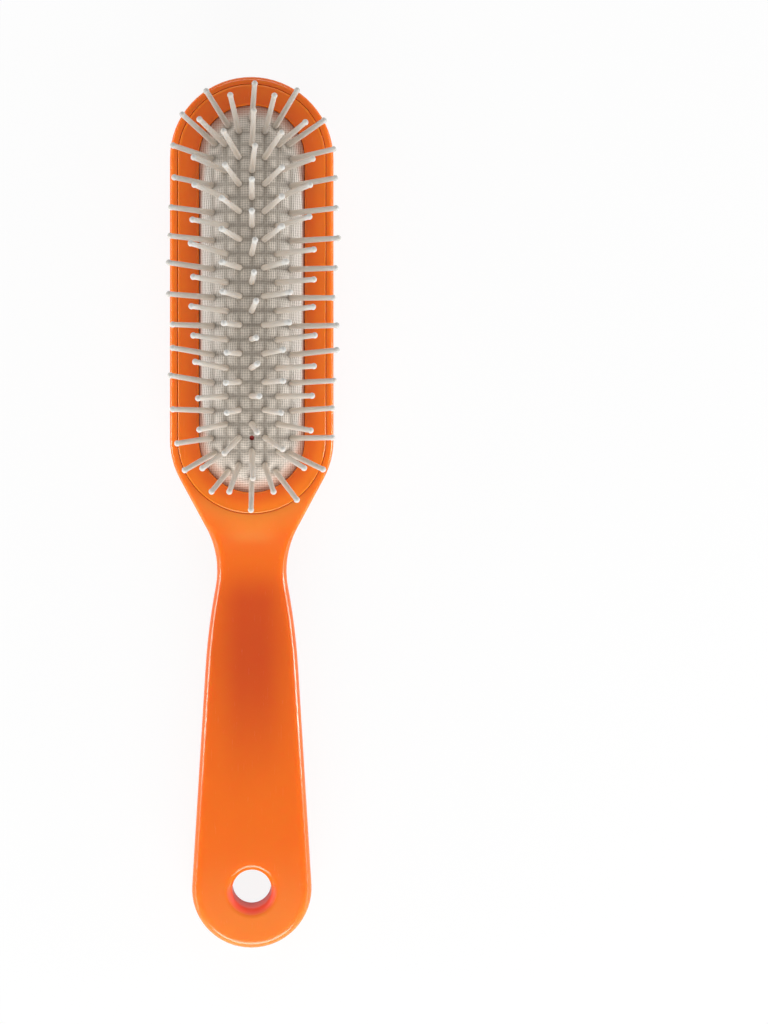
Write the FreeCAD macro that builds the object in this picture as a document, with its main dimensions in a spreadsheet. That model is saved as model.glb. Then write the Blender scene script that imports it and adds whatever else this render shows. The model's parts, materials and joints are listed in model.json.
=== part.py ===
import FreeCAD, Part
import math
import os

import Sketcher
from FreeCAD import Placement, Rotation, Vector

# An air-cushion hair brush lying on its back: X across, Y towards the tip of the head, Z up along the pins.
# The origin is under the middle of its length. Lengths are in millimetres, angles in degrees.

SIZES = {
    # Plan of the handle body
    "overall_length": 219.0,
    "head_radius": 20.5,
    "pad_spine": 35.25,
    "neck_width": 17.5,
    "flank_length": 13.9,
    "neck_radius": 22.9,
    "shoulder_radius": 160.0,
    "shoulder_flare": 1.42,
    "handle_end_radius": 15.05,
    # Side view of the handle body
    "rim_height": 13.0,
    "neck_shelf": 0.3,
    "neck_dip": 2.2,
    "dip_reach": 40.0,
    "belly_height": 12.8,
    "belly_reach": 84.0,
    "end_height": 10.5,
    "sole_start": 14.0,
    "arch_height": 2.0,
    "sole_end": 80.0,
    # Roundings of the handle body
    "rim_rounding": 1.2,
    "handle_rounding": 2.6,
    "handle_sole_rounding": 3.6,
    "head_sole_rounding": 6.0,
    "hole_radius": 4.9,
    "hole_rim_rounding": 2.1,
    "hole_sole_rounding": 1.0,
    # Recess in the head
    "ledge_height": 10.0,
    "chamber_margin": 1.2,
    "floor_thickness": 2.4,
    "ring_clearance": 0.1,
    # Cushion ring
    "rim_width": 2.0,
    "ring_width": 5.3,
    "ring_thickness": 2.0,
    "bevel_rise": 0.35,
    "bevel_margin": 0.6,
    "lip_width": 0.8,
    "ring_rounding": 0.45,
    "skirt_thickness": 1.6,
    "skirt_depth": 3.7,
    "lug_spacing": 24.0,
    "lug_length": 6.0,
    "lug_height": 1.0,
    "lug_lift": 0.8,
    "lug_reach": 0.45,
    # Cushion
    "flange_thickness": 1.2,
    "flange_clearance": 0.3,
    "cushion_clearance": 0.3,
    "crown_height": 9.6,
    "cloth_thickness": 0.5,
    "membrane_thickness": 1.2,
    "end_section_height": 0.35,
    "vent_radius": 0.6,
    # Pins
    "pin_length": 15.5,
    "pin_root_radius": 0.75,
    "pin_neck_radius": 0.62,
    "pin_ball_radius": 0.75,
    "pin_head_radius": 0.95,
    "pin_head_thickness": 0.7,
    "pin_head_clearance": 0.4,
    "pin_hole_clearance": 0.06,
    # Length by which every cut runs past the solid
    "overrun": 2.0,
}

LAST_ROW = 13
VENT_ROW = -10
LUGS_PER_SIDE = 3
DOME_STATIONS = 17
CROWN_POWER = 3
# Pins: the last row by the cushion's reach, columns and corner pins by the opening's radius
LAST_ROW_SHARE = 0.93
ROW_SQUEEZE_SHARE = 0.03
COLUMN_SHARES = {"centre": 0, "inner": 0.244, "mid": 0.496, "outer": 0.757}
CORNER_SHARE = 0.735
CORNER_ANGLES = (19.6, 53.3)
# Where the two arcs of each rise and fall in the side view meet
FALL_SHARE = 0.25
RISE_SHARE = 0.25
ARCH_RISE_SHARE = 0.65
ARCH_FALL_SHARE = 0.25
TOUCH = 1e-4

# Rows of each column of pins, from the handle side to the tip, cut into groups that rock together
COLUMN_GROUPS = {
    "centre": [(-13, -11, -9, -7), (-5, -3, -1), (1, 3, 5), (7, 9, 11, 13)],
    "inner": [(-12, -10, -8, -6), (-4, -2, 0, 2, 4), (6, 8, 10, 12)],
    "mid": [(-11, -9, -7, -5), (-3, -1, 1, 3), (5, 7, 9, 11)],
    "outer": [(-10, -8, -6, -4), (-2, 0, 2), (4, 6, 8, 10)],
}

# Lean of every pin in its group, to the right and towards the tip, in degrees
PIN_LEANS = {
    "pins_centre_1": [(-1, -33), (1, -28), (5, -10), (7, -3)],
    "pins_centre_2": [(5, 0), (4, -3), (4, 4)],
    "pins_centre_3": [(2, 3), (3, 6), (0, 6)],
    "pins_centre_4": [(0, 9), (3, 15), (2, 24), (3, 27)],
    "pins_inner_left_1": [(-10, -28), (-14, -17), (-11, -5), (-12, -4)],
    "pins_inner_left_2": [(-11, -3), (-14, -3), (-15, -1), (-16, -1), (-16, 3)],
    "pins_inner_left_3": [(-16, 5), (-13, 10), (-15, 17), (-9, 28)],
    "pins_inner_right_1": [(9, -28), (17, -13), (15, -5), (17, -2)],
    "pins_inner_right_2": [(17, 0), (23, -2), (24, -1), (20, 0), (16, 6)],
    "pins_inner_right_3": [(16, 7), (16, 8), (16, 16), (10, 28)],
    "pins_mid_left_1": [(-23, -19), (-25, -8), (-26, -5), (-29, 3)],
    "pins_mid_left_2": [(-31, 0), (-33, 0), (-31, 0), (-34, 5)],
    "pins_mid_left_3": [(-32, -1), (-30, 6), (-31, 6), (-26, 18)],
    "pins_mid_right_1": [(26, -19), (32, -9), (33, -2), (35, -1)],
    "pins_mid_right_2": [(36, 1), (34, 0), (35, -2), (35, -1)],
    "pins_mid_right_3": [(30, 3), (31, 7), (34, 6), (27, 16)],
    "pins_outer_left_1": [(-34, -8), (-39, -1), (-42, 6), (-39, 4)],
    "pins_outer_left_2": [(-39, -3), (-44, -1), (-44, 2)],
    "pins_outer_left_3": [(-42, -1), (-41, -1), (-37, 1), (-39, 7)],
    "pins_outer_right_1": [(41, -1), (41, 1), (43, 0), (47, 3)],
    "pins_outer_right_2": [(47, -3), (42, -5), (45, -4)],
    "pins_outer_right_3": [(49, -2), (46, 0), (45, 3), (43, 5)],
    "pins_corner_handle_left": [(-31, -21), (-17, -22)],
    "pins_corner_handle_right": [(36, -21), (24, -32)],
    "pins_corner_tip_left": [(-35, 26), (-24, 29)],
    "pins_corner_tip_right": [(37, 21), (24, 31)],
}

doc = FreeCAD.newDocument("hair_brush")
sheet = doc.addObject("Spreadsheet::Sheet", "sizes")


def fill_sheet():
    """One row per driving size: its name and its value under an alias."""
    for row, (name, value) in enumerate(SIZES.items(), start=1):
        sheet.set(f"A{row}", name)
        sheet.set(f"B{row}", str(value))
        sheet.setAlias(f"B{row}", name)
    doc.recompute()


def size(name):
    return float(sheet.get(name))


def cell(name):
    return f"sizes.{name}"


# Places that several pieces share, as expressions of the sheet's cells
PAD_CENTRE = "(sizes.overall_length / 2 - sizes.head_radius - sizes.pad_spine)"
END_CENTRE = "(sizes.pad_spine + sizes.head_radius - sizes.overall_length + sizes.handle_end_radius)"
NECK_REACH = ("sqrt((sizes.head_radius + sizes.neck_radius)^2 + sizes.flank_length^2"
              " - (sizes.neck_width / 2 + sizes.neck_radius)^2)")
LIP_HEIGHT = "(sizes.ledge_height + sizes.flange_thickness)"
RING_RADIUS = "(sizes.head_radius - sizes.rim_width)"
OPENING_RADIUS = f"({RING_RADIUS} - sizes.ring_width)"
RECESS_RADIUS = f"({RING_RADIUS} + sizes.ring_clearance)"
SKIRT_BORE = f"({RING_RADIUS} - sizes.skirt_thickness)"
SHOULDER_ACROSS = "(sizes.neck_width / 2 + sizes.shoulder_flare)"


def pad_centre():
    return size("overall_length") / 2 - size("head_radius") - size("pad_spine")


def neck_across():
    """Distance of the neck arc's centre from the middle line."""
    return size("neck_width") / 2 + size("neck_radius")


def neck_reach():
    """Distance of the narrowest place from the centre of the head's lower arc, by the flank between them."""
    both = size("head_radius") + size("neck_radius")
    return math.sqrt(both ** 2 + size("flank_length") ** 2 - neck_across() ** 2)


def shoulder_across():
    """Half width of the handle where its straight side, drawn on, meets the level of the waist."""
    return size("neck_width") / 2 + size("shoulder_flare")


def ring_radius():
    return size("head_radius") - size("rim_width")


def opening_radius():
    return ring_radius() - size("ring_width")


def lip_height():
    return size("ledge_height") + size("flange_thickness")


def new_body(name, height="0"):
    """A body whose own origin is under the middle of the pad, at an expression's height."""
    body = doc.addObject("PartDesign::Body", name)
    body.setExpression("Placement.Base.y", PAD_CENTRE)
    body.setExpression("Placement.Base.z", height)
    return body


def origin_feature(body, role):
    return next(f for f in body.Origin.OriginFeatures if f.Role == role)


def new_sketch(body, name, role="XY_Plane", lift="0"):
    sketch = body.newObject("Sketcher::SketchObject", name)
    sketch.AttachmentSupport = (origin_feature(body, role), "")
    sketch.MapMode = "FlatFace"
    sketch.setExpression("AttachmentOffset.Base.z", lift)
    return sketch


def drive(sketch, expression, *constraint):
    """A dimension of the sketch, with its starting value last, bound to an expression."""
    index = sketch.addConstraint(Sketcher.Constraint(*constraint))
    sketch.setExpression(f"Constraints[{index}]", expression)


def join(sketch, kind, pairs):
    """Ends of neighbouring curves made coincident or tangent."""
    for first, first_end, second, second_end in pairs:
        sketch.addConstraint(Sketcher.Constraint(kind, first, first_end, second, second_end))


def line(start, end):
    return Part.LineSegment(Vector(*start), Vector(*end))


def arc(centre, radius, start_angle, end_angle):
    circle = Part.Circle(Vector(*centre), Vector(0, 0, 1), radius)
    return Part.ArcOfCircle(circle, start_angle, end_angle)


def put_point(sketch, curve, end, across, along, start):
    """A curve's end, centre or start held at two expressions from the sketch's origin."""
    drive(sketch, across, "DistanceX", -1, 1, curve, end, start[0])
    drive(sketch, along, "DistanceY", -1, 1, curve, end, start[1])


def add_stadium(sketch, radius_expression, radius):
    """A slot outline about the sketch's origin, with its round ends one pad spine away."""
    spine = size("pad_spine")
    tip = sketch.addGeometry(arc((0, spine), radius, 0, math.pi))
    left = sketch.addGeometry(line((-radius, spine), (-radius, -spine)))
    low = sketch.addGeometry(arc((0, -spine), radius, math.pi, 2 * math.pi))
    right = sketch.addGeometry(line((radius, -spine), (radius, spine)))
    join(sketch, "Tangent", [(tip, 2, left, 1), (left, 2, low, 1), (low, 2, right, 1), (right, 2, tip, 1)])
    sketch.addConstraint(Sketcher.Constraint("PointOnObject", tip, 3, -2))
    sketch.addConstraint(Sketcher.Constraint("Vertical", left))
    drive(sketch, radius_expression, "Radius", tip, radius)
    drive(sketch, cell("pad_spine"), "DistanceY", -1, 1, tip, 3, spine)
    drive(sketch, "2 * " + cell("pad_spine"), "DistanceY", low, 3, tip, 3, 2 * spine)


def add_rectangle(sketch, across, along):
    """A rectangle between two pairs of (expression, starting value)."""
    (left_cell, left), (right_cell, right) = across
    (low_cell, low), (high_cell, high) = along
    bottom = sketch.addGeometry(line((left, low), (right, low)))
    side = sketch.addGeometry(line((right, low), (right, high)))
    top = sketch.addGeometry(line((right, high), (left, high)))
    back = sketch.addGeometry(line((left, high), (left, low)))
    sides = [bottom, side, top, back]
    for one, following in zip(sides, sides[1:] + sides[:1]):
        join(sketch, "Coincident", [(one, 2, following, 1)])
    for flat in (bottom, top):
        sketch.addConstraint(Sketcher.Constraint("Horizontal", flat))
    for upright in (side, back):
        sketch.addConstraint(Sketcher.Constraint("Vertical", upright))
    put_point(sketch, bottom, 1, left_cell, low_cell, (left, low))
    put_point(sketch, top, 1, right_cell, high_cell, (right, high))


def extrude(body, kind, sketch, length, down=False):
    feature = body.newObject("PartDesign::" + kind, sketch.Name + "_" + kind.lower())
    feature.Profile = sketch
    feature.setExpression("Length", length)
    feature.Reversed = down
    return feature


def cut_through(body, sketch):
    """A cut to both sides of the sketch, right through the solid."""
    pocket = body.newObject("PartDesign::Pocket", sketch.Name + "_cut")
    pocket.Profile = sketch
    pocket.Type = "ThroughAll"
    pocket.SideType = "Symmetric"
    return pocket


def repeat_along(body, feature, count, spacing):
    """Copies of a feature along the body's Y axis."""
    pattern = body.newObject("PartDesign::LinearPattern", feature.Name + "_row")
    pattern.Originals = [feature]
    pattern.Direction = (origin_feature(body, "Y_Axis"), [""])
    pattern.setExpression("Length", f"{count - 1} * {spacing}")
    pattern.Occurrences = count
    body.Tip = pattern
    return pattern


def outline_angles():
    """Slopes of the neck's straight flank, of the meeting of neck and shoulder, and of the handle's side."""
    flank = math.atan2(neck_reach(), neck_across())
    flank -= math.atan2(size("flank_length"), size("head_radius") + size("neck_radius"))
    grip = size("overall_length") - size("head_radius") - 2 * size("pad_spine")
    grip -= neck_reach() + size("handle_end_radius")
    taper = math.atan2(grip, shoulder_across())
    taper -= math.acos(size("handle_end_radius") / math.hypot(grip, shoulder_across()))
    gap = (neck_across() - shoulder_across()) * math.cos(taper)
    both = size("neck_radius") + size("shoulder_radius")
    flare = taper + math.acos((gap + size("shoulder_radius")) / both)
    return flank, flare, taper


def draw_outline(body):
    """Right half of the plan: head, neck, shoulder and handle as tangent arcs and lines."""
    sketch = new_sketch(body, "outline")
    flank, flare, taper = outline_angles()
    spine = size("pad_spine")
    head, neck = size("head_radius"), size("neck_radius")
    shoulder, end = size("shoulder_radius"), size("handle_end_radius")
    tip_y = spine + head
    end_y = tip_y - size("overall_length")
    neck_x, neck_y = neck_across(), -spine - neck_reach()
    shoulder_x = neck_x - (neck + shoulder) * math.cos(flare)
    shoulder_y = neck_y - (neck + shoulder) * math.sin(flare)

    def on_arc(x, y, radius, angle):
        return x + radius * math.cos(angle), y + radius * math.sin(angle)

    tip = sketch.addGeometry(arc((0, spine), head, 0, math.pi / 2))
    side = sketch.addGeometry(line((head, spine), (head, -spine)))
    low = sketch.addGeometry(arc((0, -spine), head, -flank, 0))
    flank_start, flank_end = on_arc(0, -spine, head, -flank), on_arc(neck_x, neck_y, neck, math.pi - flank)
    slope = sketch.addGeometry(line(flank_start, flank_end))
    waist = sketch.addGeometry(arc((neck_x, neck_y), neck, math.pi - flank, math.pi + flare))
    bulge = sketch.addGeometry(arc((shoulder_x, shoulder_y), shoulder, taper, flare))
    taper_start = on_arc(shoulder_x, shoulder_y, shoulder, taper)
    taper_line = sketch.addGeometry(line(taper_start, on_arc(0, end_y + end, end, taper)))
    butt = sketch.addGeometry(arc((0, end_y + end), end, -math.pi / 2, taper))
    axis = sketch.addGeometry(line((0, end_y), (0, tip_y)))

    join(sketch, "Tangent", [
        (tip, 1, side, 1), (side, 2, low, 2), (low, 1, slope, 1), (slope, 2, waist, 1),
        (waist, 2, bulge, 2), (bulge, 1, taper_line, 1), (taper_line, 2, butt, 2),
    ])
    join(sketch, "Coincident", [(butt, 1, axis, 1), (axis, 2, tip, 2)])
    sketch.addConstraint(Sketcher.Constraint("Vertical", axis))
    for curve, point in ((tip, 3), (low, 3), (butt, 3), (axis, 1)):
        sketch.addConstraint(Sketcher.Constraint("PointOnObject", curve, point, -2))
    drive(sketch, cell("head_radius"), "Radius", tip, head)
    drive(sketch, cell("neck_radius"), "Radius", waist, neck)
    drive(sketch, cell("shoulder_radius"), "Radius", bulge, shoulder)
    drive(sketch, cell("handle_end_radius"), "Radius", butt, end)
    drive(sketch, cell("pad_spine"), "DistanceY", -1, 1, tip, 3, spine)
    drive(sketch, "-" + cell("pad_spine"), "DistanceY", -1, 1, low, 3, -spine)
    drive(sketch, END_CENTRE, "DistanceY", -1, 1, butt, 3, end_y + end)
    waist_level = f"-sizes.pad_spine - {NECK_REACH}"
    put_point(sketch, waist, 3, "sizes.neck_width / 2 + sizes.neck_radius", waist_level, (neck_x, neck_y))
    # The handle's side, drawn on to the level of the waist, gives the shoulder's width there
    meeting = shoulder_across(), neck_y
    shoulder_point = sketch.addGeometry(Part.Point(Vector(*meeting)), True)
    put_point(sketch, shoulder_point, 1, SHOULDER_ACROSS, waist_level, meeting)
    sketch.addConstraint(Sketcher.Constraint("PointOnObject", shoulder_point, 1, taper_line))
    return sketch


class SideCurve:
    """A side profile in a sketch: points are (expression, value) pairs along Y and Z."""

    def __init__(self, sketch, start):
        self.sketch = sketch
        self.last, self.end = None, None
        self.at = start
        self.first = None

    def hold(self, curve, end, place):
        (along, y), (up, z) = place
        put_point(self.sketch, curve, end, along, up, (y, z))

    def chain(self, curve, curve_start, curve_end):
        if self.last is None:
            self.first = (curve, curve_start)
            self.hold(curve, curve_start, self.at)
        else:
            join(self.sketch, "Coincident", [(self.last, self.end, curve, curve_start)])
        self.last, self.end = curve, curve_end

    def level(self, curve, end):
        """The tangent at a curve's end is level: its centre is straight above or below that end."""
        self.sketch.addConstraint(Sketcher.Constraint("Vertical", curve, 3, curve, end))

    def ogee(self, place, share):
        """Two tangent arcs with level ends to a place further along; share sets where they meet."""
        (from_cell, y0), (low_cell, z0) = self.at
        (to_cell, y1), (high_cell, z1) = place
        run, rise = y1 - y0, z1 - z0
        radii = (run ** 2 + rise ** 2) / (2 * abs(rise))
        turn = math.atan2(abs(rise), abs(run)) * 2
        up = math.copysign(1, rise)
        expression = f"((({to_cell}) - ({from_cell}))^2 + (({high_cell}) - ({low_cell}))^2)"
        expression += f" / (2 * abs(({high_cell}) - ({low_cell})))"
        first_radius, second_radius = share * radii, (1 - share) * radii
        # The profiles run towards the handle's end, so each arc starts or ends straight below or above
        first_centre = (y0, z0 + up * first_radius)
        second_centre = (y1, z1 - up * second_radius)
        if rise > 0:
            first = arc(first_centre, first_radius, -math.pi / 2 - turn, -math.pi / 2)
            second = arc(second_centre, second_radius, math.pi / 2 - turn, math.pi / 2)
            ends = (2, 1), (1, 2)
        else:
            first = arc(first_centre, first_radius, math.pi / 2, math.pi / 2 + turn)
            second = arc(second_centre, second_radius, -math.pi / 2, -math.pi / 2 + turn)
            ends = (1, 2), (2, 1)
        one = self.sketch.addGeometry(first)
        two = self.sketch.addGeometry(second)
        (one_start, one_end), (two_start, two_end) = ends
        self.chain(one, one_start, one_end)
        join(self.sketch, "Tangent", [(one, one_end, two, two_start)])
        self.level(one, one_start)
        self.level(two, two_end)
        self.hold(two, two_end, place)
        drive(self.sketch, f"{share} * {expression}", "Radius", one, first_radius)
        self.last, self.end, self.at = two, two_end, place

    def fall_away(self, place):
        """One arc that starts level and drops to a place further along."""
        (_, y0), (_, z0) = self.at
        (_, y1), (_, z1) = place
        radius = ((y1 - y0) ** 2 + (z1 - z0) ** 2) / (2 * (z0 - z1))
        turn = 2 * math.atan2(z0 - z1, y0 - y1)
        curve = self.sketch.addGeometry(arc((y0, z0 - radius), radius, math.pi / 2, math.pi / 2 + turn))
        self.chain(curve, 1, 2)
        self.level(curve, 1)
        self.hold(curve, 2, place)
        self.last, self.end, self.at = curve, 2, place

    def straight(self, place):
        (_, y0), (_, z0) = self.at
        (_, y1), (_, z1) = place
        side = self.sketch.addGeometry(line((y0, z0), (y1, z1)))
        self.chain(side, 1, 2)
        self.hold(side, 2, place)
        self.at = place

    def close(self):
        (_, y0), (_, z0) = self.at
        curve, end = self.first
        back = self.sketch.getPoint(curve, end)
        side = self.sketch.addGeometry(line((y0, z0), (back.x, back.y)))
        join(self.sketch, "Coincident", [(self.last, self.end, side, 1), (side, 2, curve, end)])


def below_head(name):
    """A place along Y, by its distance from the centre of the head's lower arc towards the handle."""
    return f"-sizes.pad_spine - {cell(name)}", -size("pad_spine") - size(name)


def draw_top(body):
    """Region above neck and handle: a fall to the neck's dip, a rise to the belly, a long fall."""
    sketch = new_sketch(body, "top_profile", "YZ_Plane")
    rim = cell("rim_height"), size("rim_height")
    above = "sizes.rim_height + sizes.overrun", size("rim_height") + size("overrun")
    shelf_y = -size("pad_spine") - ring_radius() - size("neck_shelf")
    shelf = f"-sizes.pad_spine - {RING_RADIUS} - sizes.neck_shelf", shelf_y
    dip = "sizes.rim_height - sizes.neck_dip", size("rim_height") - size("neck_dip")
    end_y = size("pad_spine") + size("head_radius") - size("overall_length")
    end = "sizes.pad_spine + sizes.head_radius - sizes.overall_length", end_y
    past = end[0] + " - sizes.overrun", end_y - size("overrun")
    butt = cell("end_height"), size("end_height")
    curve = SideCurve(sketch, (shelf, rim))
    curve.ogee((below_head("dip_reach"), dip), FALL_SHARE)
    curve.ogee((below_head("belly_reach"), (cell("belly_height"), size("belly_height"))), RISE_SHARE)
    curve.fall_away((end, butt))
    curve.straight((past, butt))
    curve.straight((past, above))
    curve.straight((shelf, above))
    curve.close()
    return sketch


def draw_arch(body):
    """Region under the neck, which arches clear of the table between the head and the handle."""
    sketch = new_sketch(body, "sole_arch", "YZ_Plane")
    table = "0", 0
    below = "-sizes.overrun", -size("overrun")
    top = cell("arch_height"), size("arch_height")
    curve = SideCurve(sketch, (below_head("sole_start"), table))
    waist = f"-sizes.pad_spine - {NECK_REACH}", -size("pad_spine") - neck_reach()
    curve.ogee((waist, top), ARCH_RISE_SHARE)
    curve.ogee((below_head("sole_end"), table), ARCH_FALL_SHARE)
    curve.straight((below_head("sole_end"), below))
    curve.straight((below_head("sole_start"), below))
    curve.close()
    return sketch


def make_blank():
    """Head, neck and handle in one, before rounding."""
    body = new_body("handle_blank")
    half = extrude(body, "Pad", draw_outline(body), cell("rim_height"))
    doc.recompute()
    mirror = body.newObject("PartDesign::Mirrored", "both_halves")
    mirror.Originals = [half]
    mirror.MirrorPlane = (origin_feature(body, "YZ_Plane"), [""])
    body.Tip = mirror
    doc.recompute()
    cut_through(body, draw_top(body))
    cut_through(body, draw_arch(body))
    doc.recompute()
    return body


def lies_across(edge):
    first, last = edge.firstVertex().Point, edge.lastVertex().Point
    return math.isclose(first.y, last.y, abs_tol=TOUCH) and math.isclose(first.z, last.z, abs_tol=TOUCH)


def stands_up(edge):
    first, last = edge.firstVertex().Point, edge.lastVertex().Point
    return math.isclose(first.x, last.x, abs_tol=TOUCH) and math.isclose(first.y, last.y, abs_tol=TOUCH)


def blended(y, head_value, handle_value, head_y, handle_y):
    """A value that changes evenly along Y between its head end and its handle end."""
    share = min(1, max(0, (head_y - y) / (head_y - handle_y)))
    return head_value + (handle_value - head_value) * share


def round_edges(blank):
    """Slim rounding on the head's rim and full ones on the handle, which blend along the neck."""
    low_centre = pad_centre() - size("pad_spine")
    dip_y = low_centre - size("dip_reach")
    shelf_y = low_centre - ring_radius() - size("neck_shelf")
    top = size("rim_rounding"), size("handle_rounding"), shelf_y, dip_y
    sole = size("head_sole_rounding"), size("handle_sole_rounding"), low_centre, dip_y
    edges = []
    for number, edge in enumerate(blank.Shape.Edges, start=1):
        if lies_across(edge) or stands_up(edge):
            continue
        first, last = edge.firstVertex().Point, edge.lastVertex().Point
        radii = top if first.z + last.z > size("rim_height") else sole
        edges.append((number, blended(first.y, *radii), blended(last.y, *radii)))
    rounded = doc.addObject("Part::Fillet", "handle_rounded")
    rounded.Base = blank
    rounded.Edges = edges
    doc.recompute()
    return rounded


def lug_rectangles(sketch, inner, outer, slack):
    """The first lug's plan on both sides of the head, with slack at its ends."""
    inner_cell, inner_value = inner
    outer_cell, outer_value = outer
    slack_cell, slack_value = slack
    first_y = -size("lug_spacing") * (LUGS_PER_SIDE - 1) / 2
    reach = size("lug_length") / 2 + slack_value
    middle = f"-{(LUGS_PER_SIDE - 1) / 2} * sizes.lug_spacing"
    along = ((f"{middle} - sizes.lug_length / 2 - {slack_cell}", first_y - reach),
             (f"{middle} + sizes.lug_length / 2 + {slack_cell}", first_y + reach))
    add_rectangle(sketch, (inner, outer), along)
    add_rectangle(sketch, ((f"-({outer_cell})", -outer_value), (f"-({inner_cell})", -inner_value)), along)


def make_cavity():
    """What the head is hollowed by: recess, skirt groove, air chamber and lug slots."""
    body = new_body("head_cavity")
    recess_radius = ring_radius() + size("ring_clearance")
    recess = new_sketch(body, "recess", lift=cell("ledge_height"))
    add_stadium(recess, RECESS_RADIUS, recess_radius)
    extrude(body, "Pad", recess, "sizes.rim_height - sizes.ledge_height + sizes.overrun")
    groove_floor = f"({LIP_HEIGHT} - sizes.skirt_depth - sizes.ring_clearance)"
    groove = new_sketch(body, "skirt_groove", lift=groove_floor)
    add_stadium(groove, RECESS_RADIUS, recess_radius)
    bore = ring_radius() - size("skirt_thickness") - size("ring_clearance")
    add_stadium(groove, SKIRT_BORE + " - sizes.ring_clearance", bore)
    extrude(body, "Pad", groove, "sizes.ledge_height - " + groove_floor)
    chamber = new_sketch(body, "air_chamber", lift=cell("floor_thickness"))
    chamber_radius = opening_radius() - size("chamber_margin")
    add_stadium(chamber, f"{OPENING_RADIUS} - sizes.chamber_margin", chamber_radius)
    extrude(body, "Pad", chamber, "sizes.ledge_height - sizes.floor_thickness")
    slot = new_sketch(body, "lug_slot", lift=groove_floor + " + sizes.lug_lift")
    reach = ring_radius() + size("lug_reach") + size("ring_clearance")
    lug_rectangles(slot, (RING_RADIUS, ring_radius()),
                   (f"{RING_RADIUS} + sizes.lug_reach + sizes.ring_clearance", reach),
                   (cell("ring_clearance"), size("ring_clearance")))
    pad = extrude(body, "Pad", slot, "sizes.lug_height + 2 * sizes.ring_clearance")
    doc.recompute()
    repeat_along(body, pad, LUGS_PER_SIDE, cell("lug_spacing"))
    doc.recompute()
    return body


def make_hole():
    """Cutter of the hanging hole, on the centre of the handle's round end."""
    hole = doc.addObject("Part::Cylinder", "hanging_hole")
    hole.setExpression("Radius", cell("hole_radius"))
    hole.setExpression("Height", "sizes.rim_height + 2 * sizes.overrun")
    hole.setExpression("Placement.Base.y", "sizes.handle_end_radius - sizes.overall_length / 2")
    hole.setExpression("Placement.Base.z", "-sizes.overrun")
    return hole


def subtract(base, tool, name):
    cut = doc.addObject("Part::Cut", name)
    cut.Base, cut.Tool = base, tool
    doc.recompute()
    return cut


def make_handle():
    """Handle body: the rounded blank, hollowed for the cushion, with the hanging hole."""
    hollowed = subtract(round_edges(make_blank()), make_cavity(), "handle_hollowed")
    bored = subtract(hollowed, make_hole(), "handle_bored")
    rims = []
    end_y = size("handle_end_radius") - size("overall_length") / 2
    reach = size("hole_radius") + TOUCH
    for number, edge in enumerate(bored.Shape.Edges, start=1):
        corners = [vertex.Point for vertex in edge.Vertexes]
        if stands_up(edge) and len(corners) > 1:
            continue
        if all(math.hypot(p.x, p.y - end_y) < reach for p in corners):
            on_top = corners[0].z > size("end_height") / 2
            radius = size("hole_rim_rounding" if on_top else "hole_sole_rounding")
            rims.append((number, radius, radius))
    handle = doc.addObject("Part::Fillet", "handle_body")
    handle.Base = bored
    handle.Edges = rims
    doc.recompute()
    return handle


def make_ring():
    """Frame that falls outwards from its lip, with skirt and snap lugs. Its own zero is under the lip."""
    body = new_body("cushion_ring", LIP_HEIGHT)
    radius = ring_radius()
    frame = new_sketch(body, "frame")
    add_stadium(frame, RING_RADIUS, radius)
    extrude(body, "Pad", frame, cell("ring_thickness"))
    skirt = new_sketch(body, "skirt")
    add_stadium(skirt, RING_RADIUS, radius)
    add_stadium(skirt, SKIRT_BORE, radius - size("skirt_thickness"))
    extrude(body, "Pad", skirt, cell("skirt_depth"), down=True)
    lug = new_sketch(body, "lug", lift="sizes.lug_lift - sizes.skirt_depth")
    lug_root = f"{RING_RADIUS} - sizes.skirt_thickness / 2", radius - size("skirt_thickness") / 2
    lug_tip = f"{RING_RADIUS} + sizes.lug_reach", radius + size("lug_reach")
    lug_rectangles(lug, lug_root, lug_tip, ("0", 0))
    pad = extrude(body, "Pad", lug, cell("lug_height"))
    doc.recompute()
    repeat_along(body, pad, LUGS_PER_SIDE, cell("lug_spacing"))
    doc.recompute()
    low = new_sketch(body, "bevel_low", lift=cell("ring_thickness"))
    add_stadium(low, f"{RING_RADIUS} - sizes.bevel_margin", radius - size("bevel_margin"))
    high = new_sketch(body, "bevel_high", lift="sizes.ring_thickness + sizes.bevel_rise")
    add_stadium(high, f"{OPENING_RADIUS} + sizes.lip_width", opening_radius() + size("lip_width"))
    bevel = body.newObject("PartDesign::AdditiveLoft", "bevel")
    bevel.Profile = low
    bevel.Sections = [high]
    bevel.Ruled = True
    doc.recompute()
    opening = new_sketch(body, "opening")
    add_stadium(opening, OPENING_RADIUS, opening_radius())
    pierced = cut_through(body, opening)
    doc.recompute()
    rim_top = size("ring_thickness")
    sharp = ((radius, rim_top), (opening_radius(), rim_top + size("bevel_rise")))
    edges = []
    for number, edge in enumerate(pierced.Shape.Edges, start=1):
        point = edge.valueAt((edge.FirstParameter + edge.LastParameter) / 2)
        beyond = max(0, abs(point.y) - size("pad_spine"))
        place = math.hypot(point.x, beyond), point.z
        if any(math.dist(place, spot) < TOUCH for spot in sharp):
            edges.append(f"Edge{number}")
    rounded = body.newObject("PartDesign::Fillet", "ring_edges")
    rounded.Base = (pierced, edges)
    rounded.setExpression("Radius", cell("ring_rounding"))
    doc.recompute()
    return body


def half_width(y):
    """Half width of the cushion at the ring's lip, at a distance along the pad from its middle."""
    radius = opening_radius() - size("cushion_clearance")
    return math.sqrt(radius ** 2 - max(0, abs(y) - size("pad_spine")) ** 2)


def cushion_reach():
    return size("pad_spine") + opening_radius() - size("cushion_clearance")


def crown(y):
    """Height of the cushion over the ring's lip on the middle line, which falls off at both ends."""
    return size("crown_height") * (1 - (abs(y) / cushion_reach()) ** CROWN_POWER)


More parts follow.
